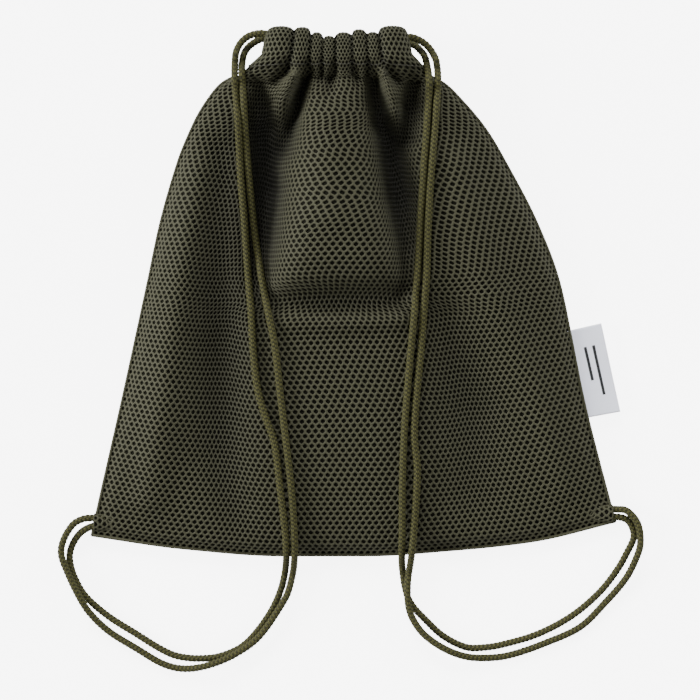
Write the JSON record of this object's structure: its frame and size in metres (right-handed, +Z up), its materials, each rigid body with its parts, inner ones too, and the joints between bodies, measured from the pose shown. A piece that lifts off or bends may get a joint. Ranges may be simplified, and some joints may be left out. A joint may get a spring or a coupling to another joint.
{
  "type": "drawstring backpack",
  "caption": "Flat drawstring backpack in perforated mesh fabric with a gathered mouth, cord straps sewn into the bottom corners and a side label.",
  "frame": {"origin": "on the flat underside of the back panel, a little below the middle of the bag's length", "axes": "+X across the bag towards the label, +Y from the bottom seam to the gathered mouth, +Z up from the back panel to the front panel"},
  "size_m": [0.4037, 0.4401, 0.0439],
  "materials": {
    "mesh_fabric": "open olive spacer mesh, matte",
    "seam_tape": "folded and overlocked olive fabric, matte",
    "braided_cord": "braided olive cord, matte",
    "thread": "olive sewing thread",
    "label": "white satin ribbon"
  },
  "bodies": {
    "bag": {"front_panel": "mesh_fabric", "rear_panel": "mesh_fabric", "front_casing": "mesh_fabric", "rear_casing": "mesh_fabric", "left_seam": "seam_tape", "right_seam": "seam_tape", "bottom_seam": "seam_tape", "left_corner": "seam_tape", "right_corner": "seam_tape", "front_stitching": "thread", "rear_stitching": "thread", "left_drawcord_run": "braided_cord", "right_drawcord_run": "braided_cord", "left_tail_front": "braided_cord", "left_tail_rear": "braided_cord", "right_tail_front": "braided_cord", "right_tail_rear": "braided_cord"},
    "left_strap": {"left_strand_front": "braided_cord", "left_strand_rear": "braided_cord"},
    "right_strap": {"right_strand_front": "braided_cord", "right_strand_rear": "braided_cord"},
    "label_tab": {"side_label": "label"}
  },
  "joints": [
    {"name": "left_strap_swing", "type": "hinge", "parent": "bag", "child": "left_strap", "pos_m": [-0.08, 0.181, 0.037], "axis": [-0.3189, -0.944, -0.0843], "range_deg": [0, 130]},
    {"name": "right_strap_swing", "type": "hinge", "parent": "bag", "child": "right_strap", "pos_m": [0.061, 0.1825, 0.037], "axis": [-0.3863, 0.9184, 0.0849], "range_deg": [0, 130]},
    {"name": "label_flap", "type": "hinge", "parent": "bag", "child": "label_tab", "pos_m": [0.1588, -0.0163, 0.006], "axis": [0.2032, -0.9791, 0], "range_deg": [-12, 80], "stiffness_Nm_per_rad": 0.02}
  ]
}
